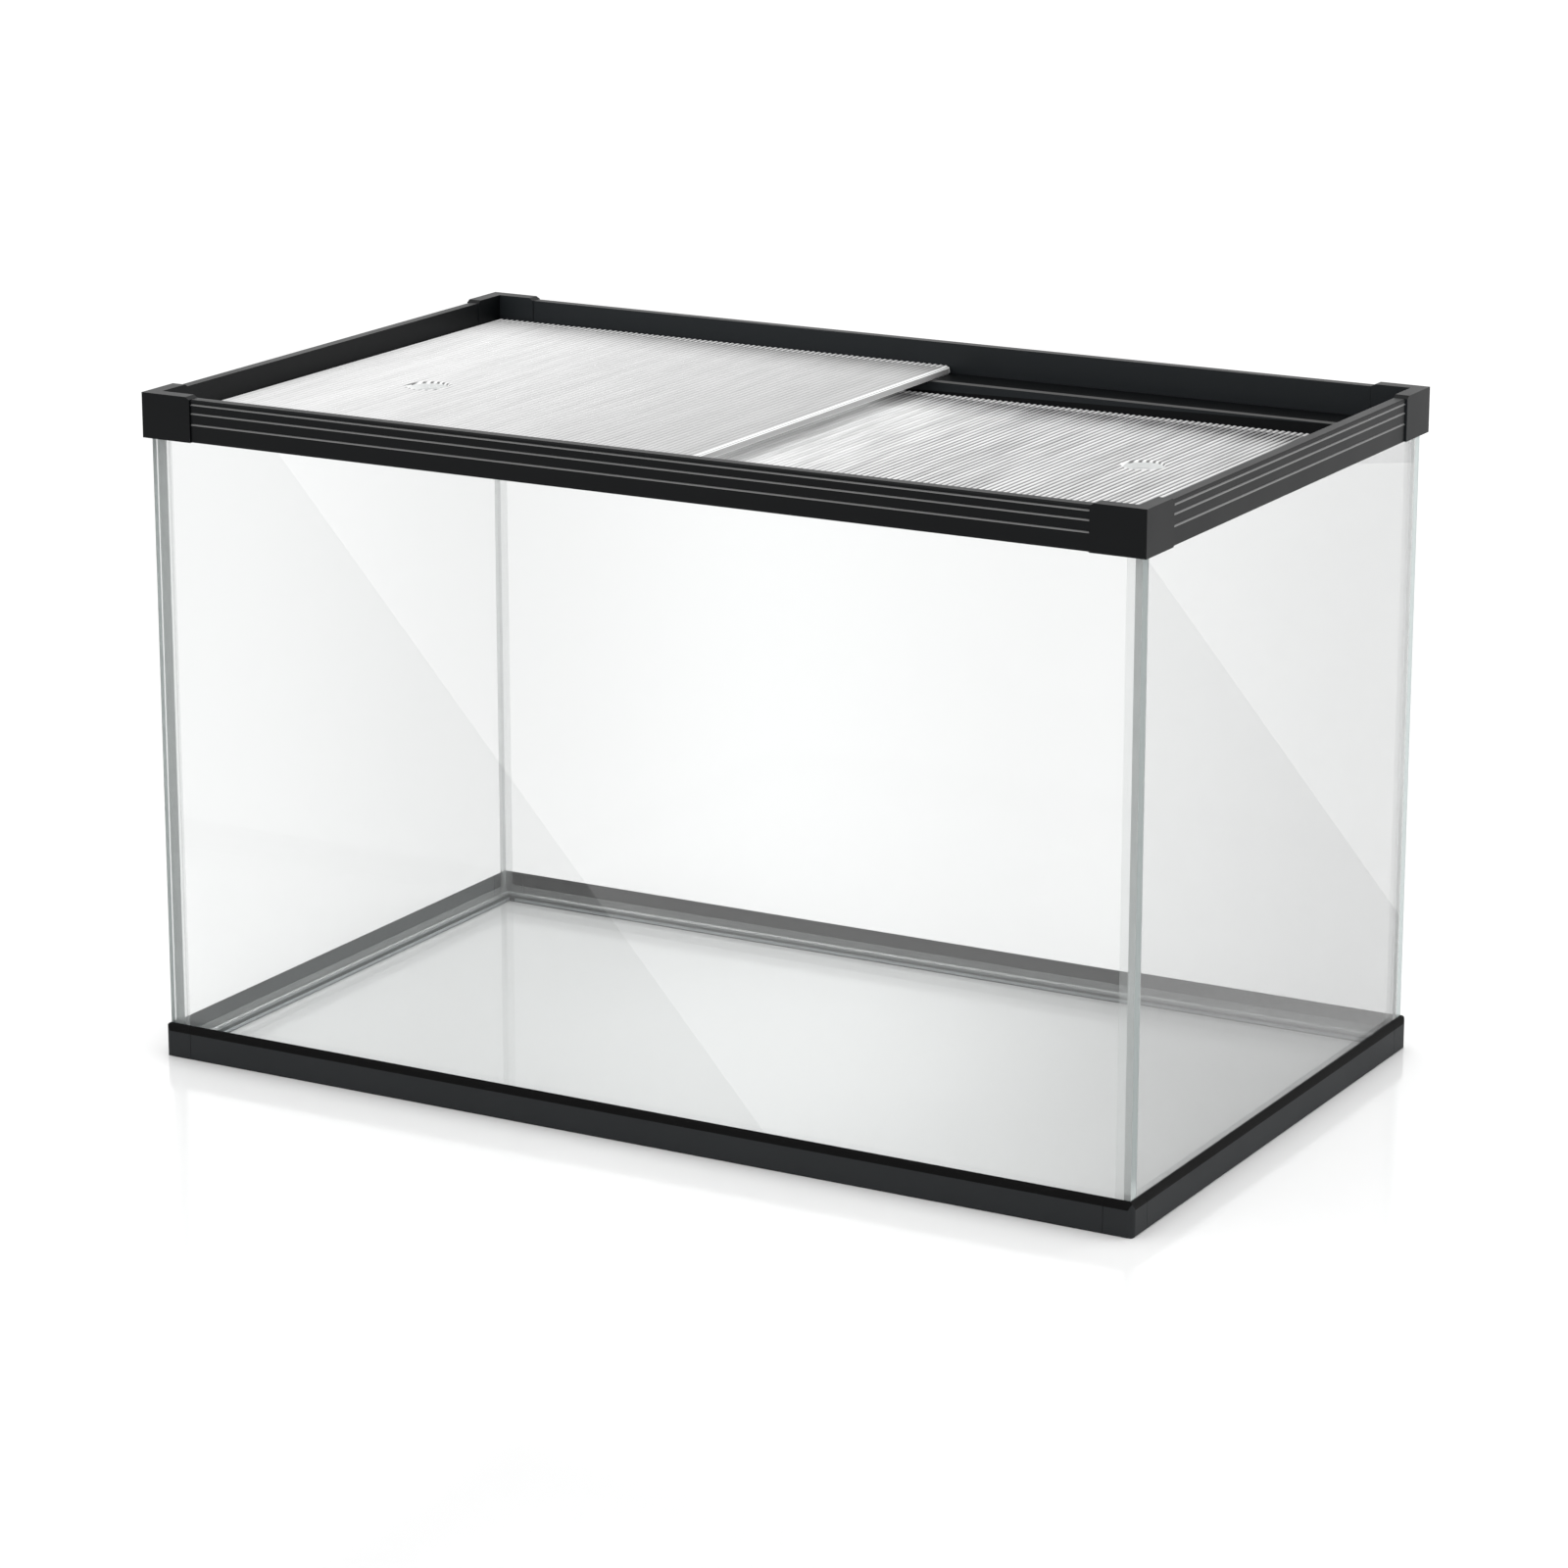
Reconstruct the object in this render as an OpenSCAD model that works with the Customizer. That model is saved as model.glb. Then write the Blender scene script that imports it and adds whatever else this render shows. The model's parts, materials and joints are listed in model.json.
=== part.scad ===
// Framed glass aquarium tank with two reeded glass lids that slide past each other
// on a two-step track inside the top frame.
// Millimetres. Origin at the centre of the footprint, on the surface it stands on.
// +X runs along the long side, +Y to the back, +Z up.

/* [Tank] */
// Overall length, across the top frame's corner connectors
tank_w = 500; // [420:5:620]
// Overall depth, across the top frame's corner connectors
tank_d = 296; // [240:2:360]
// Overall height, to the top of the corner connectors
tank_h = 314; // [250:2:400]
// Thickness of the five glass panes
glass_t = 5; // [4:0.5:6]
// Width of the silicone joint between two panes
joint_gap = 0.8; // [0.5:0.1:1]
// Leg of the silicone fillet in the tank's inner corners
fillet_leg = 3.5; // [3:0.5:6]

/* [Top frame] */
// Height of a rail's outer face
skirt_h = 19.4; // [18:0.2:22]
// Thickness of a rail's outer skin
skin = 2.2; // [1.8:0.1:2.6]
// Thickness of a rail's inner webs
web = 1.4; // [1:0.1:1.6]
// Width of the rim on top of a rail
rim_w = 5.6; // [5:0.1:7]
// Depth of the upper lid's ledge below the rim
upper_ledge = 14.2; // [13:0.2:15]
// Depth of the lower lid's ledge below the rim
lower_ledge = 24; // [23:0.2:27]
// Width of the upper ledge, from the outer face to its inner edge
upper_ledge_u = 25.2; // [23:0.2:25.2]
// Width of the lower ledge, from the outer face to its inner edge
lower_ledge_u = 29.4; // [28:0.2:31]
// Height of a decorative groove in the outer face
groove_h = 1.3; // [0.8:0.1:1.6]
// Depth of a decorative groove
groove_depth = 0.6; // [0.3:0.1:0.9]

/* [Corner connectors] */
// Length of each leg of a top corner connector
corner_leg = 26; // [26:1:34]
// How far a connector stands proud of the rails
corner_proud = 0.8; // [0.6:0.1:1.2]
// How far a connector stands above the rails
corner_rise = 1.2; // [0.8:0.1:2]
// Length of the sloping end on top of a connector
corner_slope = 2; // [1:0.5:4]
// Length of the tongues that plug into the rails
tongue_l = 18; // [10:1:30]

/* [Base frame] */
// Height of the base frame
base_h = 16; // [13:0.5:20]
// Height of its straight outer face, below the rounded shoulder
base_face_h = 11.5; // [9:0.5:12]
// Thickness of the flange under the glass
flange_t = 2; // [1.5:0.5:3]
// Width of that flange
flange_u = 11; // [9:0.5:14]
// Length of each leg of a base corner piece
base_leg = 14; // [14:1:20]
// Radius of a base corner's vertical edge
base_corner_r = 3; // [1:0.5:5]
// Gap that shows as a seam between frame pieces
seam = 0.2; // [0.1:0.05:0.4]

/* [Lids] */
// Thickness of a lid, ribs included
lid_t = 4; // [3:0.5:5]
// Width of one rib of the reeded glass
rib_pitch = 3; // [2.5:0.5:6]
// Height of a rib
rib_h = 0.8; // [0.3:0.1:0.9]
// Gap round the edge of a lid in its track
lid_gap = 0.6; // [0.4:0.1:1]
// How far each lid reaches past the middle of the tank when shut
lid_overlap = 10; // [5:1:20]
// Radius of a lid's corners
lid_corner_r = 3; // [1:0.5:6]
// Diameter of the finger hole in each lid
finger_d = 18; // [14:1:24]
// Distance of the upper lid's finger hole from its outer end
upper_finger_inset = 64; // [40:1:90]
// Distance of the lower lid's finger hole from its outer end
lower_finger_inset = 56; // [40:1:90]
// Distance of each finger hole from its lid's centre line
finger_offset = 22; // [0:1:40]

/* [Hidden] */

// Colours
black_plastic = "#1b1b1c";
base_plastic = "#2b2f32";
clear_glass = [0.82, 0.88, 0.87, 0.35];
lid_glass = [0.86, 0.88, 0.87, 0.6];
clear_silicone = [0.75, 0.78, 0.78, 0.7];

// Half sizes of the frames and of the glass box
rail_x = tank_w / 2 - corner_proud;
rail_y = tank_d / 2 - corner_proud;
glass_x = rail_x - skin;
glass_y = rail_y - skin;
side_pane_y = glass_y - glass_t - joint_gap;
floor_x = glass_x - glass_t - joint_gap;
floor_y = glass_y - glass_t - joint_gap;

// Lengths of the rails between the corner pieces
top_rail_x = tank_w - 2 * corner_leg - 2 * seam;
top_rail_y = tank_d - 2 * corner_leg - 2 * seam;
base_rail_x = 2 * rail_x - 2 * base_leg - 2 * seam;
base_rail_y = 2 * rail_y - 2 * base_leg - 2 * seam;

// Levels
rim_z = tank_h - corner_rise;
glass_z0 = flange_t;
glass_z1 = rim_z - upper_ledge - web;
floor_top = glass_z0 + glass_t;
upper_ledge_z = rim_z - upper_ledge;
lower_ledge_z = rim_z - lower_ledge;

// Section of a top rail: u runs inwards from the outer face, v down from the rim
lip_clearance = 0.2;
lip_u = skin + glass_t + lip_clearance;
lip_depth = 20.6;
fillet_z1 = rim_z - lip_depth - lip_clearance;
track_t = 0.8;
rail_drop = lower_ledge + track_t;
box_floor_t = 1.2;
rim_t = 1.6;
rim_chamfer = 0.7;
ledge_chamfer = 0.8;
groove_depths = [0.10 * skirt_h, 0.31 * skirt_h, 0.57 * skirt_h];
// Each band is [u0, u1, v0, v1]
outer_band = [0, skin, 0, skirt_h];
ledge_band = [0, upper_ledge_u, upper_ledge, upper_ledge + web];
riser_band = [upper_ledge_u - web, upper_ledge_u, upper_ledge, rail_drop];
track_band = [upper_ledge_u - web, lower_ledge_u, lower_ledge, rail_drop];
shared_bands = [outer_band, ledge_band, riser_band, track_band];
rail_bands = concat(shared_bands, [
    [0, rim_w, 0, rim_t],
    [rim_w - web, rim_w, 0, upper_ledge],
    [lip_u, lip_u + web, upper_ledge, lip_depth],
    [lip_u, upper_ledge_u, lip_depth - box_floor_t, lip_depth]
]);
corner_bands = concat(shared_bands, [
    [0, rim_w, 0, upper_ledge],
    [lip_u, upper_ledge_u, upper_ledge, lip_depth]
]);

// Corner connector tongues, one in each hollow of the rail
tongue_gap = 0.1;
tongue_root = 2;
tongues = [
    [skin, rim_w - web, rim_t, upper_ledge],
    [lip_u + web, upper_ledge_u - web, upper_ledge + web, lip_depth - box_floor_t]
];
cap_lap = 0.3;
cap_u = corner_proud + rim_w + cap_lap;
cap_drop = 0.2;
cap_inner_h = 9;

// Section of the base frame
shoulder_steps = 8;
base_chamfer = 0.6;
lip_chamfer = 0.5;

// Lids
rib_steps = 4;
finger_bevel = 1;
cut = 1;
upper_lid_x0 = -(rail_x - rim_w - lid_gap);
upper_lid_x1 = lid_overlap;
upper_lid_y = rail_y - rim_w - lid_gap;
lower_lid_x0 = -lid_overlap;
lower_lid_x1 = rail_x - upper_ledge_u - lid_gap;
lower_lid_y = rail_y - upper_ledge_u - lid_gap;

$fn = 64;

// Points of a quarter of an ellipse round (cx, cy), from angle a0 to a1
function arc(cx, cy, rx, ry, a0, a1, steps) = [
    for (i = [0:steps])
        let (a = a0 + (a1 - a0) * i / steps)
        [cx + rx * cos(a), cy + ry * sin(a)]
];

// One lid's cross-section from x = 0 to x = w: flat below, round ribs on top
function rib_z(s) = lid_t - rib_h + rib_h * sin(180 * s);
function reeded_section(w) =
    let (count = floor(w / rib_pitch), margin = (w - count * rib_pitch) / 2)
    concat(
        [[0, 0], [w, 0], [w, lid_t - rib_h]],
        [for (i = [count - 1:-1:0], j = [rib_steps:-1:1])
            [margin + (i + j / rib_steps) * rib_pitch, rib_z(j / rib_steps)]],
        [[margin, lid_t - rib_h], [0, lid_t - rib_h]]
    );

// Puts a child that faces the front onto the side at this angle, half a size away
module on_side(angle, half) {
    rotate([0, 0, angle]) translate([0, -half, 0]) children();
}

// Extrudes a (u, z) section along X, with u running towards +Y
module along_x(length) {
    rotate([90, 0, 90]) linear_extrude(height = length, center = true) children();
}

// Puts a front left corner piece into the corner with these signs
module in_corner(half_x, half_y, right, back) {
    mirror([right, 0, 0]) mirror([0, back, 0])
        translate([-half_x, -half_y, 0]) children();
}

// ---- glass ----

module pane(x, y, z0, z1) {
    color(clear_glass)
        translate([-x, -y, z0]) cube([2 * x, 2 * y, z1 - z0]);
}

module front_pane() {
    translate([0, -glass_y + glass_t / 2, 0])
        pane(glass_x, glass_t / 2, glass_z0, glass_z1);
}

module back_pane() {
    translate([0, glass_y - glass_t / 2, 0])
        pane(glass_x, glass_t / 2, glass_z0, glass_z1);
}

module left_pane() {
    translate([-glass_x + glass_t / 2, 0, 0])
        pane(glass_t / 2, side_pane_y, glass_z0, glass_z1);
}

module right_pane() {
    translate([glass_x - glass_t / 2, 0, 0])
        pane(glass_t / 2, side_pane_y, glass_z0, glass_z1);
}

module bottom_pane() {
    pane(floor_x, floor_y, glass_z0, floor_top);
}

// ---- silicone ----

// Hollow fillet in the corner of two faces that meet at the origin
module fillet_section() {
    polygon(concat(
        [[0, 0]],
        arc(fillet_leg, fillet_leg, fillet_leg, fillet_leg, 270, 180, shoulder_steps)
    ));
}

// Upright seal of the front left corner: joint layer and inner fillet
module corner_seal() {
    color(clear_silicone) {
        translate([0, glass_t, glass_z0])
            cube([glass_t, joint_gap, glass_z1 - glass_z0]);
        translate([glass_t, glass_t, floor_top + fillet_leg])
            linear_extrude(height = fillet_z1 - floor_top - fillet_leg) fillet_section();
    }
}

module corner_seal_front_left() { in_corner(glass_x, glass_y, 0, 0) corner_seal(); }
module corner_seal_front_right() { in_corner(glass_x, glass_y, 1, 0) corner_seal(); }
module corner_seal_back_left() { in_corner(glass_x, glass_y, 0, 1) corner_seal(); }
module corner_seal_back_right() { in_corner(glass_x, glass_y, 1, 1) corner_seal(); }

// Bead between the floor and one wall, with its share of the joint round the floor
module floor_bead(half_wall, length) {
    translate([0, -half_wall + glass_t, floor_top]) {
        along_x(length) fillet_section();
        translate([-length / 2, 0, -glass_t]) cube([length, joint_gap, glass_t]);
    }
}

module bottom_seal() {
    inner_x = glass_x - glass_t;
    inner_y = glass_y - glass_t;
    color(clear_silicone) {
        for (angle = [0, 180]) rotate([0, 0, angle]) floor_bead(glass_y, 2 * inner_x);
        for (angle = [90, 270]) rotate([0, 0, angle]) floor_bead(glass_x, 2 * inner_y);
        for (right = [0, 1], back = [0, 1])
            in_corner(inner_x, inner_y, right, back)
                translate([0, 0, floor_top])
                    linear_extrude(height = fillet_leg) fillet_section();
    }
}

// ---- top frame ----

module band_square(band) {
    translate([band[0], -band[3]]) square([band[1] - band[0], band[3] - band[2]]);
}

module rail_section() {
    difference() {
        union() for (band = rail_bands) band_square(band);
        for (depth = groove_depths)
            polygon([
                [-cut, -depth + groove_h], [groove_depth, -depth],
                [0, -depth - groove_h / 2], [-cut, -depth - groove_h]
            ]);
        polygon([[-cut, -rim_chamfer - cut], [rim_chamfer + cut, cut], [-cut, cut]]);
        translate([upper_ledge_u, -upper_ledge])
            polygon([[-ledge_chamfer - cut, cut], [cut, -ledge_chamfer - cut], [cut, cut]]);
    }
}

// Space that one rail may fill: its ledges meet the next rail's in a mitre
module mitre(half) {
    reach = lower_ledge_u + cut;
    outer = half - seam / 2 + cut;
    inner = half - seam / 2 - reach;
    translate([0, 0, rim_z - rail_drop - cut])
        linear_extrude(height = rail_drop + 2 * cut)
            polygon([[-outer, -cut], [outer, -cut], [inner, reach], [-inner, reach]]);
}

// Rail of the front side; half is the distance from its middle to the next rail's face
module top_rail(length, half) {
    color(black_plastic) intersection() {
        translate([0, 0, rim_z]) along_x(length) rail_section();
        mitre(half);
    }
}

module top_rail_front() { on_side(0, rail_y) top_rail(top_rail_x, rail_x); }
module top_rail_back() { on_side(180, rail_y) top_rail(top_rail_x, rail_x); }
module top_rail_left() { on_side(270, rail_x) top_rail(top_rail_y, rail_y); }
module top_rail_right() { on_side(90, rail_x) top_rail(top_rail_y, rail_y); }

// Slab of the front left corner between two offsets from the rails' faces: L-shaped,
// or square where the inner offset lies past the legs' ends
module l_band(band) {
    u0 = band[0] + corner_proud;
    u1 = band[1] + corner_proud;
    translate([0, 0, rim_z - band[3]])
        linear_extrude(height = band[3] - band[2]) difference() {
            translate([u0, u0]) square(corner_leg - u0);
            translate([u1, u1]) square(corner_leg);
        }
}

// One leg of the visible cap: outer skin and raised top, with a sloping end
module cap_leg(width, z0) {
    rotate([90, 0, 0]) mirror([0, 0, 1])
        linear_extrude(height = width)
            polygon([
                [0, z0], [corner_leg, z0], [corner_leg, rim_z],
                [corner_leg - corner_slope, tank_h], [0, tank_h]
            ]);
}

module tongue(section) {
    translate([
        corner_leg - tongue_root,
        corner_proud + section[0] + tongue_gap,
        rim_z - section[3] + tongue_gap
    ])
        cube([
            tongue_root + tongue_l,
            section[1] - section[0] - 2 * tongue_gap,
            section[3] - section[2] - 2 * tongue_gap
        ]);
}

// Swaps X and Y, so that a front leg becomes a left leg
module swap_xy() { mirror([1, -1, 0]) children(); }

module front_leg() {
    cap_leg(corner_proud + skin, rim_z - skirt_h - cap_drop);
    cap_leg(cap_u, rim_z - cap_inner_h);
    for (section = tongues) tongue(section);
}

module top_corner() {
    color(black_plastic) union() {
        for (band = corner_bands) l_band(band);
        front_leg();
        swap_xy() front_leg();
    }
}

module top_corner_front_left() { in_corner(tank_w / 2, tank_d / 2, 0, 0) top_corner(); }
module top_corner_front_right() { in_corner(tank_w / 2, tank_d / 2, 1, 0) top_corner(); }
module top_corner_back_left() { in_corner(tank_w / 2, tank_d / 2, 0, 1) top_corner(); }
module top_corner_back_right() { in_corner(tank_w / 2, tank_d / 2, 1, 1) top_corner(); }

// ---- base frame ----

// Rounded shoulder outside, glass seat and flange inside
module base_section() {
    polygon(concat(
        [[flange_u - lip_chamfer, 0], [base_chamfer, 0], [0, base_chamfer]],
        arc(skin, base_face_h, skin, base_h - base_face_h, 180, 90, shoulder_steps),
        [[skin, flange_t], [flange_u, flange_t], [flange_u, lip_chamfer]]
    ));
}

module base_rail(length) {
    color(base_plastic) along_x(length) base_section();
}

module base_rail_front() { on_side(0, rail_y) base_rail(base_rail_x); }
module base_rail_back() { on_side(180, rail_y) base_rail(base_rail_x); }
module base_rail_left() { on_side(270, rail_x) base_rail(base_rail_y); }
module base_rail_right() { on_side(90, rail_x) base_rail(base_rail_y); }

// Half of a base corner, mitred along the diagonal
module base_leg_half() {
    intersection() {
        translate([base_leg / 2, 0, 0]) along_x(base_leg) base_section();
        linear_extrude(height = base_h) polygon([[0, 0], [base_leg, 0], [base_leg, base_leg]]);
    }
}

module rounded_corner_block() {
    translate([base_corner_r, base_corner_r, 0]) cylinder(r = base_corner_r, h = base_h);
    translate([base_corner_r, 0, 0]) cube([base_leg, base_leg, base_h]);
    translate([0, base_corner_r, 0]) cube([base_leg, base_leg, base_h]);
}

module base_corner() {
    color(base_plastic) intersection() {
        union() {
            base_leg_half();
            swap_xy() base_leg_half();
        }
        rounded_corner_block();
    }
}

module base_corner_front_left() { in_corner(rail_x, rail_y, 0, 0) base_corner(); }
module base_corner_front_right() { in_corner(rail_x, rail_y, 1, 0) base_corner(); }
module base_corner_back_left() { in_corner(rail_x, rail_y, 0, 1) base_corner(); }
module base_corner_back_right() { in_corner(rail_x, rail_y, 1, 1) base_corner(); }

// ---- lids ----

// Block with rounded upright edges that trims a lid's corners
module lid_outline(x0, x1, half_y) {
    r = lid_corner_r;
    for (x = [x0 + r, x1 - r], y = [-half_y + r, half_y - r])
        translate([x, y, 0]) cylinder(r = r, h = lid_t);
    translate([x0 + r, -half_y, 0]) cube([x1 - x0 - 2 * r, 2 * half_y, lid_t]);
    translate([x0, -half_y + r, 0]) cube([x1 - x0, 2 * half_y - 2 * r, lid_t]);
}

module lid(x0, x1, half_y, finger_x, finger_y) {
    color(lid_glass) difference() {
        intersection() {
            translate([x0, half_y, 0]) rotate([90, 0, 0])
                linear_extrude(height = 2 * half_y) polygon(reeded_section(x1 - x0));
            lid_outline(x0, x1, half_y);
        }
        translate([finger_x, finger_y, -cut]) cylinder(d = finger_d, h = lid_t + 2 * cut);
        translate([finger_x, finger_y, lid_t - finger_bevel])
            cylinder(d1 = finger_d, d2 = finger_d + 2 * finger_bevel, h = finger_bevel);
    }
}

module upper_lid() {
    translate([0, 0, upper_ledge_z])
        lid(upper_lid_x0, upper_lid_x1, upper_lid_y,
            upper_lid_x0 + upper_finger_inset, -finger_offset);
}

module lower_lid() {
    translate([0, 0, lower_ledge_z])
        lid(lower_lid_x0, lower_lid_x1, lower_lid_y,
            lower_lid_x1 - lower_finger_inset, finger_offset);
}

front_pane();
back_pane();
left_pane();
right_pane();
bottom_pane();
corner_seal_front_left();
corner_seal_front_right();
corner_seal_back_left();
corner_seal_back_right();
bottom_seal();
top_rail_front();
top_rail_back();
top_rail_left();
top_rail_right();
top_corner_front_left();
top_corner_front_right();
top_corner_back_left();
top_corner_back_right();
base_rail_front();
base_rail_back();
base_rail_left();
base_rail_right();
base_corner_front_left();
base_corner_front_right();
base_corner_back_left();
base_corner_back_right();
upper_lid();
lower_lid();
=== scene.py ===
"""Looks of the framed glass aquarium tank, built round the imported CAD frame.

Metres, +X along the long side, +Y to the back, +Z up, origin under the middle of the tank.
"""
import json
from math import atan2, cos, pi, radians, sin

import bmesh
import bpy
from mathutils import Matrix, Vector


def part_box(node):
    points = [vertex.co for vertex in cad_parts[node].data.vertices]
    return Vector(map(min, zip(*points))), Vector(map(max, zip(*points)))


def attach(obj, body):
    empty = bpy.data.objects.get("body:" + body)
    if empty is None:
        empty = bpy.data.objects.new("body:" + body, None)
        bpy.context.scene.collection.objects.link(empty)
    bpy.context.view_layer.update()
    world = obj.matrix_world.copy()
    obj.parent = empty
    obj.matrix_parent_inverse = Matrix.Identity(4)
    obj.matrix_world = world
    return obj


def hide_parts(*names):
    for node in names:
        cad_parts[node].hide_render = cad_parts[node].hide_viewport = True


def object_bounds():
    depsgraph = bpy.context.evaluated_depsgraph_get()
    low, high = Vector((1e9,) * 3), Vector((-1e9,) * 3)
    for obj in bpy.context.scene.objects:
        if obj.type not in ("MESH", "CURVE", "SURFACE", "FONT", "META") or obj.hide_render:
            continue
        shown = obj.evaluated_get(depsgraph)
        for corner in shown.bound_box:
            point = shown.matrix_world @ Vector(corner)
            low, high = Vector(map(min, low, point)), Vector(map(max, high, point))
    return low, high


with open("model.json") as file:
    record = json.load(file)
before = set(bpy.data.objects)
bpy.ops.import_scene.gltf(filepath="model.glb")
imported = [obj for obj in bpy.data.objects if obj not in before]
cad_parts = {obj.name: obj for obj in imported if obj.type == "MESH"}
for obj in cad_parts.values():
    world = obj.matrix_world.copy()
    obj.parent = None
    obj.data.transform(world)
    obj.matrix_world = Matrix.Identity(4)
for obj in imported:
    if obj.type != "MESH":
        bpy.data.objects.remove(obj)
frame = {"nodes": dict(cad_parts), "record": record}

CAD_BOX = [list(map(float, corner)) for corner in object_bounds()]
MM = 0.001

# Camera: viewing angle, distance, lens and framing of the reference view
VIEW_AZIMUTH = radians(29.4)
VIEW_ELEVATION = radians(15.46)
VIEW_DISTANCE = 2.3666
LENS_MM = 118.4
SENSOR_WIDTH_MM = 36.0
NEAR_CLIP = 50 * MM
AIM_RIGHT = -1.55 * MM
AIM_UP = -26.6 * MM

# Reeded lids
RIB_PITCH = 3.0 * MM
RIB_HEIGHT = 0.8 * MM
RIB_STEPS = 10
LID_CORNER = 3.0 * MM
LID_CORNER_STEPS = 8
LID_CHAMFER = 0.6 * MM
LID_SMOOTH_ANGLE = radians(20)
TOP_BEVEL_SLOPE = 1.5
CUT_MARGIN = 0.1 * MM

# Finger holes; the last value is how far a face of the bevel has to look up
FINGER_RADIUS = 9.0 * MM
FINGER_BEVEL = 1.0 * MM
FINGER_MARGIN = 12.0 * MM
FINGER_STEPS = 72
HOLE_FADE = 2 * MM
HOLE_BEVEL_RISE = 0.2

# Width of a lid's toothed border, painted with teeth of highlight and shade, and of the painted
# shade beside it
BORDER = 7.0 * MM
BORDER_FADE = 0.5 * MM
BESIDE = 34.0 * MM

# Depths below the rim where the painted highlights on the frame's grooves and ledges begin and the
# painted light on its back wall ends
GROOVES_FROM = 1.2 * MM
LEDGES_FROM = 14.0 * MM
INNER_WALLS_TO = 20.0 * MM

# Heights above the table where the painted shade on the base's shoulder begins and the painted
# sheen on its flange ends
SHOULDER_FROM = 8.0 * MM
FLANGE_TO = 4.0 * MM

# Share of a face's normal along an axis: level, facing that way, slanted, barely turned to it
LEVEL = 0.98
FACING = 0.9
SLANT_MAX = 0.95
SLANT_MIN = 0.3
BARELY = 0.05

# Finish of the CAD parts; a pane's face is an edge below a share of its largest face
EDGE_ROUNDING = 0.25 * MM
ROUNDED_ANGLE = radians(30)
SEAL_CLEARANCE = 0.02 * MM
EDGE_SHARE = 1 / 4
GLUED_PANES = ("left_pane", "right_pane", "bottom_pane")

# Refractive indices
GLASS_IOR = 1.5
COATED_IOR = 1.15
SILICONE_IOR = 1.41
PLASTIC_IOR = 1.5
FLOOR_IOR = 1.45

# Glass: green-grey tint, and what passes of the light that reaches what lies behind it; also the
# tone of the painted shade between the painted highlights of a lid's teeth
GLASS_TINT = (0.994, 1.0, 0.999)
PANE_SHADOW = (0.985, 0.99, 0.988, 1)
LID_SHADOW = (0.985, 0.99, 0.99, 1)
TEETH_SHADE_TONE = 0.14
CLEAR_SHARE_OF_SEAL = 0.85

# Scales of the noise that breaks up each surface
FLOOR_CLOUDS = 1.2
PLASTIC_CLOUDS = 18.0
PLASTIC_GRAIN = 2600.0
SEAL_CLOUDS = 55.0
LID_STREAKS = 230.0

# Relief of the plastic's grain
GRAIN_STRENGTH = 0.12
GRAIN_DEPTH = 0.05 * MM

# Radians per unit of length that the wave texture adds at scale 1
WAVE_FREQUENCY = 20

# Studio; the inner light's height is above the underside of the bottom pane
FLOOR_SIZE = 30.0
WORLD_STRENGTH = 1.12
INNER_LIGHT_HEIGHT = 0.26
GLASS_BOUNCES = 24


# ---------------------------------------------------------------- shader helpers

def new_material(name):
    """An empty node material: returns it with its tree and its output node."""
    material = bpy.data.materials.new(name)
    material.use_nodes = True
    tree = material.node_tree
    tree.nodes.clear()
    output = tree.nodes.new("ShaderNodeOutputMaterial")
    return material, tree, output


def principled(tree, **sockets):
    """A Principled shader with the constants given by name, underscores for spaces."""
    shader = tree.nodes.new("ShaderNodeBsdfPrincipled")
    for name, value in sockets.items():
        shader.inputs[name.replace("_", " ")].default_value = value
    return shader


def feed(tree, socket, value):
    """Fills a socket with a constant, or links it to another socket."""
    if isinstance(value, bpy.types.NodeSocket):
        tree.links.new(value, socket)
    else:
        socket.default_value = value


def grey(value):
    return (value, value, value, 1.0)


def object_coords(tree):
    return tree.nodes.new("ShaderNodeTexCoord").outputs["Object"]


def noise(tree, scale, detail=3.0, stretch=(1, 1, 1)):
    """Noise in object space; stretch below 1 draws it out along that axis."""
    mapping = tree.nodes.new("ShaderNodeMapping")
    mapping.inputs["Scale"].default_value = stretch
    texture = tree.nodes.new("ShaderNodeTexNoise")
    texture.inputs["Scale"].default_value = scale
    texture.inputs["Detail"].default_value = detail
    tree.links.new(object_coords(tree), mapping.inputs["Vector"])
    tree.links.new(mapping.outputs["Vector"], texture.inputs["Vector"])
    return texture.outputs["Fac"]


def calculate(tree, operation, *values):
    """One step of arithmetic on constants or sockets."""
    node = tree.nodes.new("ShaderNodeMath")
    node.operation = operation
    for socket, value in zip(node.inputs, values):
        feed(tree, socket, value)
    return node.outputs["Value"]


def spread(tree, value, low, high, start=0.3, end=0.7):
    """Maps start..end on to low..high, and holds it there beyond both ends."""
    node = tree.nodes.new("ShaderNodeMapRange")
    node.inputs["From Min"].default_value = start
    node.inputs["From Max"].default_value = end
    node.inputs["To Min"].default_value = low
    node.inputs["To Max"].default_value = high
    tree.links.new(value, node.inputs["Value"])
    return node.outputs["Result"]


def mix_colours(tree, factor, first, second, blend="MIX"):
    """Mixes two colours, each either a constant or a socket."""
    node = tree.nodes.new("ShaderNodeMix")
    node.data_type = "RGBA"
    node.blend_type = blend
    sockets = {socket.identifier: socket for socket in node.inputs}
    feed(tree, sockets["Factor_Float"], factor)
    feed(tree, sockets["A_Color"], first)
    feed(tree, sockets["B_Color"], second)
    return next(socket for socket in node.outputs if socket.identifier == "Result_Color")


def darken(tree, colour, mask, tone):
    """Multiplies a colour by a grey tone where a mask is 1, and leaves it where that is 0."""
    shade = mix_colours(tree, mask, grey(1.0), grey(tone))
    return mix_colours(tree, 1.0, colour, shade, "MULTIPLY")


def object_distance(tree, direction):
    """How far a point lies along a direction, in metres from the middle of the tank."""
    dot = tree.nodes.new("ShaderNodeVectorMath")
    dot.operation = "DOT_PRODUCT"
    dot.inputs[1].default_value = direction
    tree.links.new(object_coords(tree), dot.inputs[0])
    return dot.outputs["Value"]


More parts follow.
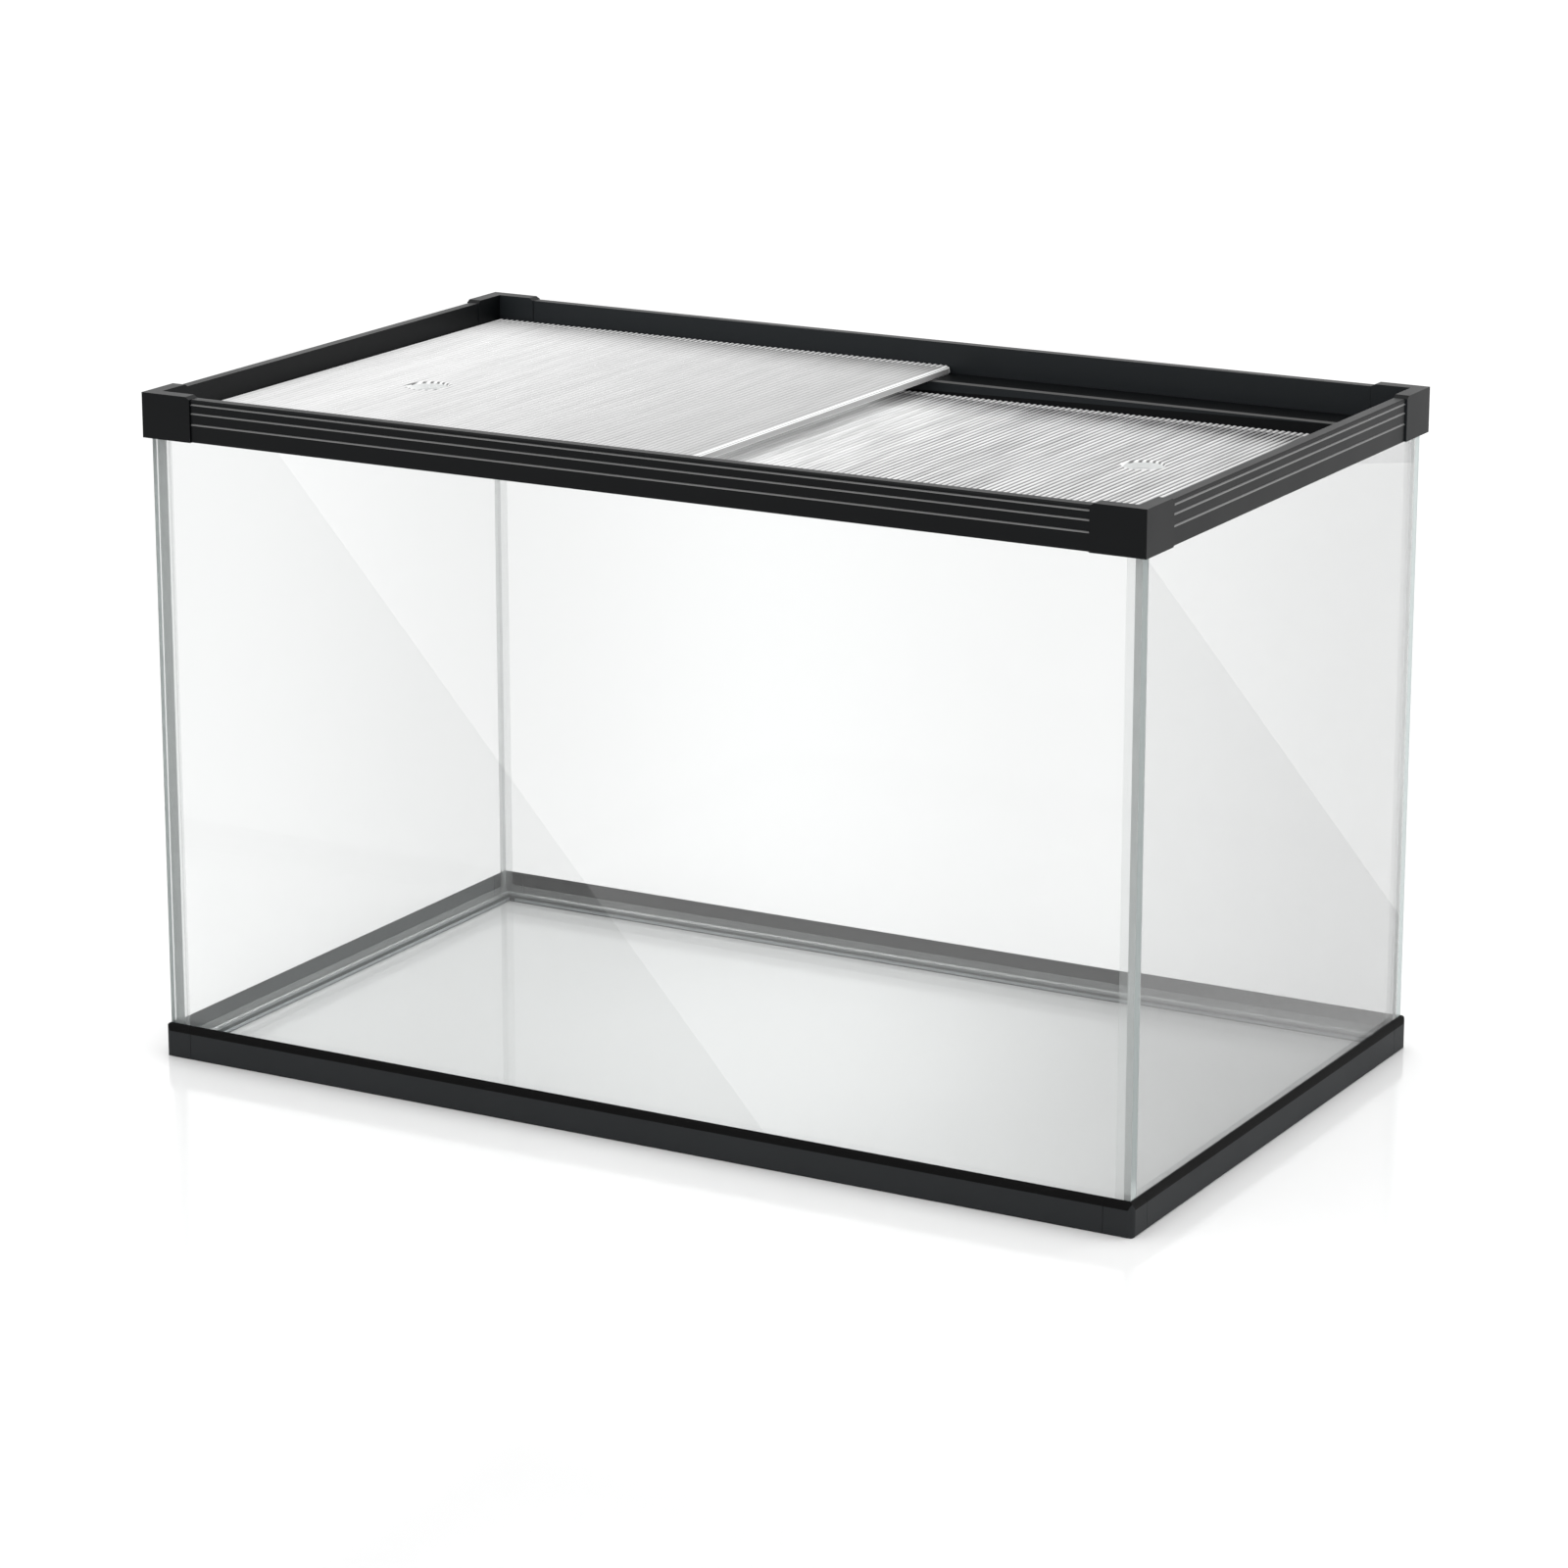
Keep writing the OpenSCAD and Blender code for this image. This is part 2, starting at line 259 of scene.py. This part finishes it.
def mix_with_clear(tree, shader, output, share, tint):
    """Ends a material with a mix of a shader and a clear one, whose share may be a socket."""
    clear = tree.nodes.new("ShaderNodeBsdfTransparent")
    clear.inputs["Color"].default_value = tint
    mix = tree.nodes.new("ShaderNodeMixShader")
    feed(tree, mix.inputs["Fac"], share)
    tree.links.new(shader.outputs["BSDF"], mix.inputs[1])
    tree.links.new(clear.outputs["BSDF"], mix.inputs[2])
    tree.links.new(mix.outputs["Shader"], output.inputs["Surface"])


def let_light_through(tree, shader, output, tint):
    """Gives way to a tinted clear shader for shadow rays, so glass doesn't cast black shadows."""
    path = tree.nodes.new("ShaderNodeLightPath")
    mix_with_clear(tree, shader, output, path.outputs["Is Shadow Ray"], tint)


# ---------------------------------------------------------------- glass and silicone

def glass_material(name, colour, roughness, transmission=1.0, mirror=0.3):
    """Glass of one colour all over."""
    material, tree, output = new_material(name)
    shader = principled(tree, Base_Color=colour, Roughness=roughness, IOR=GLASS_IOR,
                        Transmission_Weight=transmission, Specular_IOR_Level=mirror)
    let_light_through(tree, shader, output, PANE_SHADOW)
    return material


def painted_shade_glass(name, direction, reach, shade_tones):
    """Glass with painted shade: its green-grey tint is darkened by greys that change smoothly from
    -reach to reach along a direction.

    Its low IOR keeps it as free of mirror images as coated glass.
    """
    material, tree, output = new_material(name)
    shader = principled(tree, Roughness=0.0, IOR=COATED_IOR, Transmission_Weight=1.0,
                        Specular_IOR_Level=0.3)
    place = spread(tree, object_distance(tree, direction), 0.0, 1.0, start=-reach, end=reach)
    ramp = tree.nodes.new("ShaderNodeValToRGB")
    ramp.color_ramp.interpolation = "EASE"
    stops = ramp.color_ramp.elements
    while len(stops) < len(shade_tones):
        stops.new(0.5)
    for i, tint in enumerate(shade_tones):
        stops[i].position = i / (len(shade_tones) - 1)
        # Each stop's grey is painted shade on the green-grey glass
        stops[i].color = [tint * share for share in GLASS_TINT] + [1]
    tree.links.new(place, ramp.inputs["Fac"])
    tree.links.new(ramp.outputs["Color"], shader.inputs["Base Color"])
    let_light_through(tree, shader, output, PANE_SHADOW)
    return material


def silicone_material():
    """Milky silicone that lets most of what lies behind it show."""
    material, tree, output = new_material("clear_silicone")
    shader = principled(tree, Roughness=0.3, IOR=SILICONE_IOR)
    colour = mix_colours(tree, noise(tree, SEAL_CLOUDS),
                         (0.62, 0.66, 0.65, 1), (0.80, 0.83, 0.82, 1))
    tree.links.new(colour, shader.inputs["Base Color"])
    mix_with_clear(tree, shader, output, CLEAR_SHARE_OF_SEAL, grey(1.0))
    return material


def rib_layout(low, high):
    """Where a lid's first rib begins, and how many ribs it has."""
    width = high.x - low.x
    count = int(width / RIB_PITCH)
    return low.x + (width - count * RIB_PITCH) / 2, count


def rib_pattern(tree, start):
    """0 in the valleys and 1 on the crests of ribs that begin at x = start."""
    wave = tree.nodes.new("ShaderNodeTexWave")
    wave.wave_type = "BANDS"
    wave.bands_direction = "X"
    wave.wave_profile = "SIN"
    wave.inputs["Scale"].default_value = 2 * pi / (WAVE_FREQUENCY * RIB_PITCH)
    wave.inputs["Distortion"].default_value = 0.0
    wave.inputs["Phase Offset"].default_value = -2 * pi * start / RIB_PITCH
    tree.links.new(object_coords(tree), wave.inputs["Vector"])
    return wave.outputs["Fac"]


def near_upright(tree, centre, radius):
    """1 within a radius of an upright line through a point, fading to 0 just outside it."""
    flat = tree.nodes.new("ShaderNodeVectorMath")
    flat.operation = "MULTIPLY"
    flat.inputs[1].default_value = (1, 1, 0)
    gap = tree.nodes.new("ShaderNodeVectorMath")
    gap.operation = "DISTANCE"
    gap.inputs[1].default_value = (centre.x, centre.y, 0)
    tree.links.new(object_coords(tree), flat.inputs[0])
    tree.links.new(flat.outputs["Vector"], gap.inputs[0])
    return spread(tree, gap.outputs["Value"], 1.0, 0.0, start=radius, end=radius + HOLE_FADE)


def edge_zones(tree, half_depth, centre):
    """Masks for where a lid's borders and hole are painted with teeth of highlight and shade, and
    for the painted shade beside them.
    """
    across = calculate(tree, "ABSOLUTE", object_distance(tree, (0, 1, 0)))
    inner_edge = half_depth - BORDER
    border = spread(tree, across, 0.0, 1.0, start=inner_edge - BORDER_FADE, end=inner_edge)
    beside = spread(tree, across, 0.0, 1.0, start=inner_edge - BESIDE, end=inner_edge)
    hole = near_upright(tree, centre, FINGER_RADIUS + FINGER_BEVEL)
    return calculate(tree, "MAXIMUM", border, hole), beside


def reeded_material(name, low, high, centre, transmission, roughness, valleys, crests, reach,
                    streak, shade):
    """Ribbed glass with painted light and shade: valleys darker than crests, both lighter at its
    left edge and changing tone over a stretch from there.

    streak is the tone of its brush marks, and shade the tone of the painted shade beside its
    borders. Its borders and hole are painted with teeth: highlights on the crests and shade in the
    valleys.
    """
    material, tree, output = new_material(name)
    shader = principled(tree, Roughness=roughness, IOR=GLASS_IOR, Specular_IOR_Level=0.4,
                        Transmission_Weight=transmission)
    pattern = rib_pattern(tree, rib_layout(low, high)[0])
    ribs = spread(tree, pattern, 0.0, 1.0, start=0.1, end=0.8)
    along = object_distance(tree, (1, 0, 0))
    place = spread(tree, along, 0.0, 1.0, start=low.x + 0.1 * reach, end=low.x + reach)
    marks = noise(tree, LID_STREAKS, stretch=(1, 0.07, 1))
    streaks = spread(tree, marks, 1.0, 0.0, start=0.35, end=0.62)
    ground, beside = edge_zones(tree, high.y, centre)
    # Painted light and shade: valleys darker than crests, lighter at the left edge, with painted
    # shade beside the borders
    valley = mix_colours(tree, place, grey(valleys[0]), grey(valleys[1]))
    valley = darken(tree, valley, beside, shade)
    crest = mix_colours(tree, place, grey(crests[0]), grey(crests[1]))
    sheet = mix_colours(tree, ribs, valley, crest)
    sheet = darken(tree, sheet, streaks, streak)
    sheet = darken(tree, sheet, beside, (1 + shade) / 2)
    # Painted teeth on the borders and hole: highlights on the crests, painted shade in the valleys
    painted_teeth = mix_colours(tree, ribs, grey(TEETH_SHADE_TONE), grey(1.0))
    tree.links.new(mix_colours(tree, ground, sheet, painted_teeth), shader.inputs["Base Color"])
    let_light_through(tree, shader, output, LID_SHADOW)
    return material


# ---------------------------------------------------------------- plastic and floor

def plastic_material(name, dark, light, roughness, specular):
    """Satin plastic with a fine grain and a slightly uneven tone and gloss."""
    material, tree, output = new_material(name)
    shader = principled(tree, IOR=PLASTIC_IOR, Specular_IOR_Level=specular)
    cloud = noise(tree, PLASTIC_CLOUDS)
    bump = tree.nodes.new("ShaderNodeBump")
    bump.inputs["Strength"].default_value = GRAIN_STRENGTH
    bump.inputs["Distance"].default_value = GRAIN_DEPTH
    tree.links.new(noise(tree, PLASTIC_GRAIN, 2.0), bump.inputs["Height"])
    tree.links.new(bump.outputs["Normal"], shader.inputs["Normal"])
    tree.links.new(mix_colours(tree, cloud, dark, light), shader.inputs["Base Color"])
    tree.links.new(spread(tree, cloud, *roughness), shader.inputs["Roughness"])
    tree.links.new(shader.outputs["BSDF"], output.inputs["Surface"])
    return material


def floor_material():
    """Plain pale tabletop with a weak reflection."""
    material, tree, output = new_material("studio_floor")
    shader = principled(tree, Roughness=0.12, IOR=FLOOR_IOR)
    colour = mix_colours(tree, noise(tree, FLOOR_CLOUDS), grey(0.86), grey(0.88))
    tree.links.new(colour, shader.inputs["Base Color"])
    tree.links.new(shader.outputs["BSDF"], output.inputs["Surface"])
    return material


# Each pane's grey is painted shade, set to how dark that pane looks: the right pane darker than
# the front one, and the left, back and bottom panes darkening along a direction
PANE_GLASS = {
    "front_pane": glass_material("front_glass", (0.93, 0.935, 0.934, 1), 0.0, mirror=0.1),
    "left_pane": painted_shade_glass("left_glass", (0, 1, 0), 0.15, (0.93, 0.80)),
    "back_pane": painted_shade_glass("back_glass", (1, 0, 0), 0.25, (0.82, 0.91, 0.84, 0.66)),
    "right_pane": glass_material("right_glass", (0.815, 0.82, 0.819, 1), 0.0, mirror=0.06),
    "bottom_pane": painted_shade_glass("bottom_glass", (0.87, 0.49, 0), 0.26, (0.99, 0.965, 0.73)),
}
EDGE = glass_material("glass_edge", (0.48, 0.55, 0.54, 1), 0.2, transmission=0.5)
BONDED_EDGE = glass_material("bonded_edge", (0.87, 0.905, 0.90, 1), 0.2, transmission=0.5)
LID_EDGE = glass_material("lid_edge", (0.97, 0.985, 0.98, 1), 0.3, transmission=0.1, mirror=0.5)
SILICONE = silicone_material()
TOP_PLASTIC = plastic_material(
    "top_plastic", dark=(0.0022, 0.0026, 0.003, 1), light=(0.0035, 0.0041, 0.0047, 1),
    roughness=(0.34, 0.42), specular=0.12)
# Lighter copy of the black plastic: painted light on the inner face of the back wall
BACK_WALL_LIGHT_PLASTIC = plastic_material(
    "back_wall_painted_light", dark=(0.012, 0.0142, 0.0165, 1), light=(0.0145, 0.0175, 0.0195, 1),
    roughness=(0.4, 0.5), specular=0.2)
# Grey copy of the black plastic: painted highlights on the grooves
GROOVE_HIGHLIGHT_PLASTIC = plastic_material(
    "groove_painted_highlight", dark=grey(0.17), light=grey(0.21), roughness=(0.4, 0.5), specular=0.5)
# Grey copy of the black plastic: painted highlights on the ledges
LEDGE_HIGHLIGHT_PLASTIC = plastic_material(
    "ledge_painted_highlight", dark=grey(0.05), light=grey(0.07), roughness=(0.4, 0.5), specular=0.5)
BASE_PLASTIC = plastic_material(
    "base_plastic", dark=(0.024, 0.0255, 0.027, 1), light=(0.029, 0.031, 0.0325, 1),
    roughness=(0.38, 0.46), specular=0.04)
# Darker copy of the base's plastic: painted shade on the shoulder
SHOULDER_SHADE_PLASTIC = plastic_material(
    "shoulder_painted_shade", dark=grey(0.005), light=grey(0.007), roughness=(0.5, 0.6),
    specular=0.03)
# Pale copy of the black plastic: painted sheen of the glass where the base is seen through it
UNDER_GLASS_SHEEN_PLASTIC = plastic_material(
    "under_glass_painted_sheen", dark=(0.42, 0.455, 0.465, 1), light=(0.45, 0.485, 0.495, 1),
    roughness=(0.4, 0.5), specular=0.2)


# ---------------------------------------------------------------- CAD nodes

def set_materials(node_object, *materials):
    """Gives a CAD node its material slots, with every face in the first one."""
    slots = node_object.data.materials
    slots.clear()
    for material in materials:
        slots.append(material)
    for face in node_object.data.polygons:
        face.material_index = 0


def soften_edges(node_object):
    """Rounds a CAD part's edges a little with a modifier; its mesh stays as it is."""
    bevel = node_object.modifiers.new("edge rounding", "BEVEL")
    bevel.width = EDGE_ROUNDING
    bevel.segments = 2
    bevel.limit_method = "ANGLE"
    bevel.angle_limit = ROUNDED_ANGLE
    bevel.harden_normals = True


def shrink(node_object):
    """Keeps the faces of a bead from lying in the same plane as the glass."""
    displace = node_object.modifiers.new("clearance", "DISPLACE")
    displace.strength = -SEAL_CLEARANCE
    displace.mid_level = 0.0


def dress_pane(node_object, glass, edge):
    """Clear faces, and tinted edges on the narrow sides."""
    set_materials(node_object, glass, edge)
    faces = node_object.data.polygons
    largest = max(face.area for face in faces)
    for face in faces:
        if face.area < largest * EDGE_SHARE:
            face.material_index = 1


def inward(face):
    """How much a face of the frame looks into the tank across its wall, from -1 to 1."""
    if abs(face.center.x) / CAD_BOX[1][0] > abs(face.center.y) / CAD_BOX[1][1]:
        return -face.normal.x if face.center.x > 0 else face.normal.x
    return -face.normal.y if face.center.y > 0 else face.normal.y


def dress_top_frame(node_object):
    """Satin black, with painted highlights on the grooves and the ledges and painted light on the
    inner face of the back wall.
    """
    set_materials(node_object, TOP_PLASTIC, GROOVE_HIGHLIGHT_PLASTIC, LEDGE_HIGHLIGHT_PLASTIC, BACK_WALL_LIGHT_PLASTIC)
    rim = max(vertex.co.z for vertex in node_object.data.vertices)
    for face in node_object.data.polygons:
        depth = rim - face.center.z
        slanted = SLANT_MIN < face.normal.z < SLANT_MAX
        # Painted highlights on the grooves and the ledges, painted light on the back wall
        if slanted and inward(face) < -SLANT_MIN and depth > GROOVES_FROM:
            face.material_index = 1
        elif slanted and inward(face) > SLANT_MIN and depth > LEDGES_FROM:
            face.material_index = 2
        elif face.normal.y < -FACING and face.center.y > 0 and depth < INNER_WALLS_TO:
            face.material_index = 3


def dress_base_frame(node_object):
    """Satin outside, with painted shade on the shoulder and a painted pale sheen where it is seen
    through the glass.
    """
    set_materials(node_object, BASE_PLASTIC, SHOULDER_SHADE_PLASTIC, UNDER_GLASS_SHEEN_PLASTIC)
    for face in node_object.data.polygons:
        level = face.normal.z > LEVEL
        # Painted shade on the shoulder, painted sheen where the base is seen through the glass
        if face.normal.z > BARELY and not level and face.center.z > SHOULDER_FROM:
            face.material_index = 1
        elif inward(face) > FACING or (level and face.center.z < FLANGE_TO):
            face.material_index = 2


# ---------------------------------------------------------------- lids

def mesh_object(name, rings):
    """A closed object made from rings of points: quads between them and a cap at each end."""
    bm = bmesh.new()
    loops = [[bm.verts.new(point) for point in ring] for ring in rings]
    for lower, upper in zip(loops, loops[1:]):
        for i in range(len(lower)):
            j = (i + 1) % len(lower)
            bm.faces.new((lower[i], lower[j], upper[j], upper[i]))
    bm.faces.new(loops[0][::-1])
    bm.faces.new(loops[-1])
    bmesh.ops.recalc_face_normals(bm, faces=bm.faces)
    mesh = bpy.data.meshes.new(name)
    bm.to_mesh(mesh)
    bm.free()
    piece = bpy.data.objects.new(name, mesh)
    bpy.context.collection.objects.link(piece)
    return piece


def reeded_section(low, high):
    """Outline of a lid in X and Z: flat below, round ribs on top."""
    start, count = rib_layout(low, high)
    valley = high.z - RIB_HEIGHT
    top = [(low.x, valley), (start, valley)]
    for i in range(count * RIB_STEPS):
        turn = (i % RIB_STEPS + 1) / RIB_STEPS
        top.append((start + (i + 1) * RIB_PITCH / RIB_STEPS, valley + RIB_HEIGHT * sin(pi * turn)))
    top.append((high.x, valley))
    return [(high.x, low.z), (low.x, low.z)] + top


def rounded_rectangle(low, high, inset, z):
    """Points round a rectangle with rounded corners, pulled in by inset."""
    corners = [(high.x, high.y, 0), (low.x, high.y, 1), (low.x, low.y, 2), (high.x, low.y, 3)]
    reach = LID_CORNER - inset
    points = []
    for x, y, quarter in corners:
        centre_x = x - LID_CORNER if x == high.x else x + LID_CORNER
        centre_y = y - LID_CORNER if y == high.y else y + LID_CORNER
        for step in range(LID_CORNER_STEPS + 1):
            angle = (quarter + step / LID_CORNER_STEPS) * pi / 2
            points.append((centre_x + reach * cos(angle), centre_y + reach * sin(angle), z))
    return points


def circle(centre, radius, z):
    """Points round a level circle."""
    angles = [2 * pi * i / FINGER_STEPS for i in range(FINGER_STEPS)]
    return [(centre.x + radius * cos(angle), centre.y + radius * sin(angle), z)
            for angle in angles]


def edge_cutter(name, rings):
    """A cutter whose faces are in its second slot, which is the lid's ground edge too."""
    cutter = mesh_object(name, rings)
    cutter.data.materials.append(LID_EDGE)
    cutter.data.materials.append(LID_EDGE)
    for face in cutter.data.polygons:
        face.material_index = 1
    return cutter


def apply_boolean(piece, cutter, operation):
    """Cuts a piece to its share with a cutter, or to what the cutter leaves of it."""
    modifier = piece.modifiers.new(operation, "BOOLEAN")
    modifier.operation = operation
    modifier.solver = "EXACT"
    modifier.object = cutter
    depsgraph = bpy.context.evaluated_depsgraph_get()
    mesh = bpy.data.meshes.new_from_object(piece.evaluated_get(depsgraph))
    piece.modifiers.clear()
    piece.data = mesh
    bpy.data.objects.remove(cutter)


def lid_outline(low, high):
    """A lid's plan, chamfered below and with a longer bevel through the ribs above."""
    side_top = high.z - RIB_HEIGHT - LID_CHAMFER / 2
    top = high.z + CUT_MARGIN
    return [rounded_rectangle(low, high, LID_CHAMFER + CUT_MARGIN, low.z - CUT_MARGIN),
            rounded_rectangle(low, high, 0, low.z + LID_CHAMFER),
            rounded_rectangle(low, high, 0, side_top),
            rounded_rectangle(low, high, (top - side_top) * TOP_BEVEL_SLOPE, top)]


def finger_hole(low, high, centre):
    """A round hole that widens to both faces, more so at the top."""
    return [circle(centre, FINGER_RADIUS + 2 * FINGER_BEVEL, low.z - 1.5 * FINGER_BEVEL),
            circle(centre, FINGER_RADIUS, low.z + FINGER_BEVEL / 2),
            circle(centre, FINGER_RADIUS, high.z - FINGER_BEVEL),
            circle(centre, FINGER_RADIUS + 3 * FINGER_BEVEL, high.z + FINGER_BEVEL)]


def build_lid(node, body, opening, **looks):
    """Reeded glass lid with ground, chamfered edges and a bevelled finger hole."""
    low, high = (Vector(corner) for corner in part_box(node))
    hole_low, hole_high = (Vector(corner) for corner in opening["box_m"])
    centre = (hole_low + hole_high) / 2
    section = reeded_section(low, high)
    stations = [low.y, centre.y - FINGER_MARGIN, centre.y + FINGER_MARGIN, high.y]
    lid = mesh_object(node + "_glass", [[(x, y, z) for x, z in section] for y in stations])
    lid.data.materials.append(reeded_material(node + "_reeded_glass", low, high, centre, **looks))
    lid.data.materials.append(LID_EDGE)
    apply_boolean(lid, edge_cutter("outline", lid_outline(low, high)), "INTERSECT")
    apply_boolean(lid, edge_cutter("hole", finger_hole(low, high, centre)), "DIFFERENCE")
    # The part of the hole's upper bevel that faces the front shows the cut ribs, with the reeded
    # material's painted teeth of highlight and shade
    for face in lid.data.polygons:
        beside_hole = abs(face.center.y) < high.y / 2
        if beside_hole and face.normal.y < 0 and face.normal.z > HOLE_BEVEL_RISE:
            face.material_index = 0
    lid.data.polygons.foreach_set("use_smooth", [True] * len(lid.data.polygons))
    lid.data.set_sharp_from_angle(angle=LID_SMOOTH_ANGLE)
    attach(lid, body)
    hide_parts(node)


openings = {opening["name"]: opening for opening in frame["record"]["physics"]["openings"]}
# Each lid's valleys and crests hold painted light and shade: lighter at its left edge, darker in
# the valleys and beside the borders
build_lid("upper_lid", "upper_slider", openings["upper_lid_finger_hole"],
          transmission=0.15, roughness=0.35, valleys=(0.73, 0.46), crests=(0.87, 0.60),
          reach=0.25, streak=0.9, shade=0.72)
build_lid("lower_lid", "lower_slider", openings["lower_lid_finger_hole"],
          transmission=0.2, roughness=0.12, valleys=(0.98, 0.22), crests=(1.0, 1.0),
          reach=0.085, streak=0.72, shade=0.12)

nodes = frame["nodes"]
for name, node_object in nodes.items():
    if name.endswith("_pane"):
        dress_pane(node_object, PANE_GLASS[name], BONDED_EDGE if name in GLUED_PANES else EDGE)
    elif "seal" in name:
        set_materials(node_object, SILICONE)
        shrink(node_object)
    elif name.startswith("top_"):
        dress_top_frame(node_object)
        soften_edges(node_object)
    elif name.startswith("base_"):
        dress_base_frame(node_object)
        soften_edges(node_object)
    else:
        set_materials(node_object, LID_EDGE)


# ---------------------------------------------------------------- studio

def add_floor():
    bpy.ops.mesh.primitive_plane_add(size=FLOOR_SIZE, location=(0, 0, 0))
    floor = bpy.context.object
    floor.name = "studio_floor"
    floor.data.materials.append(floor_material())


def area_light(name, width, height, watts, hidden_from=("camera",)):
    """A rectangular light that some kinds of ray don't see."""
    data = bpy.data.lights.new(name, "AREA")
    data.shape = "RECTANGLE"
    data.size = width
    data.size_y = height
    data.energy = watts
    light = bpy.data.objects.new(name, data)
    bpy.context.collection.objects.link(light)
    for ray in hidden_from:
        setattr(light, "visible_" + ray, False)
    return light


def light_only(light, *lit_objects):
    """Keeps a light from all objects but a few."""
    receivers = bpy.data.collections.new(light.name + "_receivers")
    for lit_object in lit_objects:
        receivers.objects.link(lit_object)
    light.light_linking.receiver_collection = receivers


def add_softbox(name, place, target, width, height, watts):
    """A studio light that points at a target."""
    light = area_light(name, width, height, watts)
    light.location = place
    light.rotation_euler = (Vector(target) - Vector(place)).to_track_quat("-Z", "Y").to_euler()


def add_shine(name, edge_start, edge_end, width, radiance, pane):
    """A panel that lies on the floor and shows only as a slanting sheen in one pane.

    One long edge runs from edge_start to edge_end. The panel lies to the right of that edge, or
    to its left if the width is negative.
    """
    start = Vector((*edge_start, 0))
    along = Vector((*edge_end, 0)) - start
    outwards = along.normalized().cross(Vector((0, 0, 1)))
    light = area_light(name, along.length, abs(width), radiance * pi * along.length * abs(width),
                       hidden_from=("camera", "diffuse", "transmission"))
    light.location = start + along / 2 + outwards * width / 2 + Vector((0, 0, MM))
    light.rotation_euler = (pi, 0, atan2(along.y, along.x))
    light_only(light, nodes[pane])


def add_inner_light(watts):
    """A panel in the tank that only brightens the studio floor seen through the bottom pane."""
    low, high = (Vector(corner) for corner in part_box("bottom_pane"))
    light = area_light("inner_light", high.x - low.x, high.y - low.y, watts,
                       hidden_from=("camera", "glossy", "transmission"))
    light.location = (0, 0, low.z + INNER_LIGHT_HEIGHT)
    light_only(light, bpy.data.objects["studio_floor"])


def set_world():
    """Even white light from all sides."""
    world = bpy.data.worlds.new("studio")
    world.use_nodes = True
    background = world.node_tree.nodes["Background"]
    background.inputs["Color"].default_value = grey(1.0)
    background.inputs["Strength"].default_value = WORLD_STRENGTH
    bpy.context.scene.world = world


def add_camera():
    """The reference view: front and right side, from a little above."""
    low, high = (Vector(corner) for corner in CAD_BOX)
    back = Vector((sin(VIEW_AZIMUTH) * cos(VIEW_ELEVATION),
                   -cos(VIEW_AZIMUTH) * cos(VIEW_ELEVATION), sin(VIEW_ELEVATION)))
    right = Vector((cos(VIEW_AZIMUTH), sin(VIEW_AZIMUTH), 0))
    up = back.cross(right)
    aim = (low + high) / 2 + right * AIM_RIGHT + up * AIM_UP
    data = bpy.data.cameras.new("camera")
    data.lens = LENS_MM
    data.sensor_width = SENSOR_WIDTH_MM
    data.clip_start = NEAR_CLIP
    camera = bpy.data.objects.new("camera", data)
    bpy.context.collection.objects.link(camera)
    camera.location = aim + back * VIEW_DISTANCE
    camera.rotation_euler = back.to_track_quat("Z", "Y").to_euler()
    bpy.context.scene.camera = camera


def set_bounces():
    """Lets light pass all the panes that can lie behind one another."""
    cycles = bpy.context.scene.cycles
    cycles.transparent_max_bounces = GLASS_BOUNCES
    cycles.transmission_bounces = GLASS_BOUNCES
    cycles.max_bounces = GLASS_BOUNCES


add_camera()
add_floor()
set_world()
add_softbox("top_softbox", place=(0, 0, 2.2), target=(0, 0, 0), width=2.4, height=2.4, watts=6)
add_softbox("right_softbox", place=(1.8, 1.4, 0.9), target=(0, 0, 0.15),
            width=1.6, height=1.2, watts=12)
add_shine("left_shine", edge_start=(-1.15, -1.47), edge_end=(0.2, -0.02),
          width=0.62, radiance=1.35, pane="front_pane")
add_shine("near_shine", edge_start=(-0.63, -1.44), edge_end=(0.1, -0.59),
          width=0.25, radiance=1.5, pane="front_pane")
add_shine("right_shine", edge_start=(0.15, 0.08), edge_end=(0.95, 1.24),
          width=-0.35, radiance=0.5, pane="right_pane")
add_inner_light(watts=0.65)
set_bounces()
bpy.context.scene.view_settings.view_transform = "Standard"
